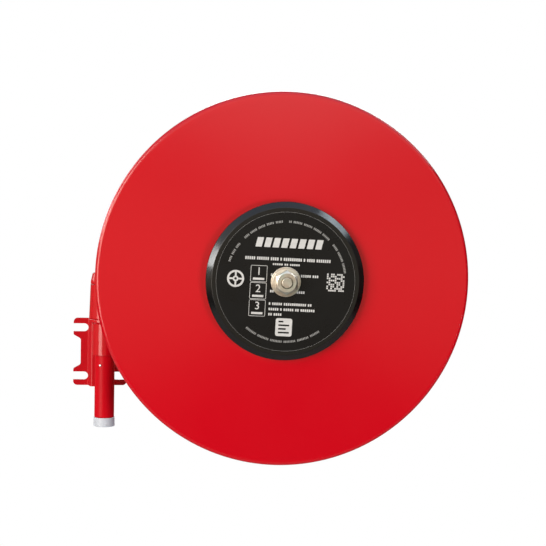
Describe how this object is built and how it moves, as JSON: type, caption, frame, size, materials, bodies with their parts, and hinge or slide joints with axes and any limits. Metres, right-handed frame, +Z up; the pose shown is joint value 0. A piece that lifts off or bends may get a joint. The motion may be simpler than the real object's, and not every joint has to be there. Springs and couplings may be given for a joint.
{
  "type": "swinging fire hose reel",
  "caption": "Wall-mounted hose reel: two pressed discs with the hose wound between them, on a hinged arm that carries water from a vertical inlet pipe to the hub.",
  "frame": {"origin": "middle of the wall bracket's back face, on the wall", "axes": "+Y into the wall, -Y out to the front of the reel, +X from the pivot towards the drum, +Z up"},
  "size_m": [0.642, 0.284, 0.6],
  "materials": {
    "red_paint": "gloss powder coat",
    "black_plastic": "moulded, satin gloss",
    "label_face": null,
    "white_plastic": "soft push-on cap",
    "yellow_zinc": "yellow passivated zinc",
    "bright_zinc": "zinc plated",
    "spring_steel": "phosphated spring steel",
    "brass": "turned and cast brass",
    "bush_bronze": "sintered bearing bronze",
    "cast_alloy": "machined casting",
    "hose_rubber": "smooth black cover",
    "seal_rubber": "nitrile",
    "nozzle_black": "moulded",
    "nozzle_red": "moulded"
  },
  "bodies": {
    "bracket_frame": {"wall_bracket": "red_paint", "pivot_sleeve": "red_paint", "inlet_pipe": "red_paint", "thrust_collar": "red_paint", "pivot_circlip": "spring_steel", "drain_screw": "bright_zinc"},
    "swing_arm": {"swivel_housing": "red_paint", "housing_cap": "red_paint", "lower_pivot_bush": "bush_bronze", "upper_pivot_bush": "bush_bronze", "pivot_seal": "seal_rubber", "arm_channel": "red_paint", "water_pipe": "red_paint", "union_nuts": "brass", "axle_elbow": "brass", "flange_bolts": "bright_zinc", "axle": "bright_zinc", "front_washer": "yellow_zinc", "front_nut": "yellow_zinc"},
    "drum": {"rear_disc": "red_paint", "front_disc": "red_paint", "core_drum": "red_paint", "core_rivets": "bright_zinc", "hub_barrel": "cast_alloy", "hub_bolts": "bright_zinc", "rear_axle_bush": "bush_bronze", "front_axle_bush": "bush_bronze", "axle_seals": "seal_rubber", "outlet_elbow": "brass", "hose_tail": "brass", "hose_clamp": "bright_zinc", "hub_cover": "black_plastic", "cover_screws": "bright_zinc", "label_plate": "label_face", "hose_core": "hose_rubber", "hose_winding": "hose_rubber", "nozzle_ferrule": "brass", "nozzle_body": "nozzle_black"},
    "nozzle_twist": {"nozzle_barrel": "nozzle_red"},
    "inlet_plug": {"inlet_cap": "white_plastic"}
  },
  "joints": [
    {"name": "arm_swing", "type": "hinge", "parent": "bracket_frame", "child": "swing_arm", "pos_m": [0.009, -0.042, 0.07], "axis": [0, 0, 1], "range_deg": [-90, 0]},
    {"name": "drum_spin", "type": "hinge", "parent": "swing_arm", "child": "drum", "pos_m": [0.296, -0.1564, 0.146], "axis": [0, 1, 0], "continuous": true},
    {"name": "nozzle_turn", "type": "hinge", "parent": "drum", "child": "nozzle_twist", "pos_m": [0.296, -0.17503, 0.4129], "axis": [1, 0, 0], "range_deg": [0, 180]},
    {"name": "inlet_cap_pull", "type": "slide", "parent": "bracket_frame", "child": "inlet_plug", "axis": [0, 0, -1], "range_m": [0, 0.04]}
  ]
}
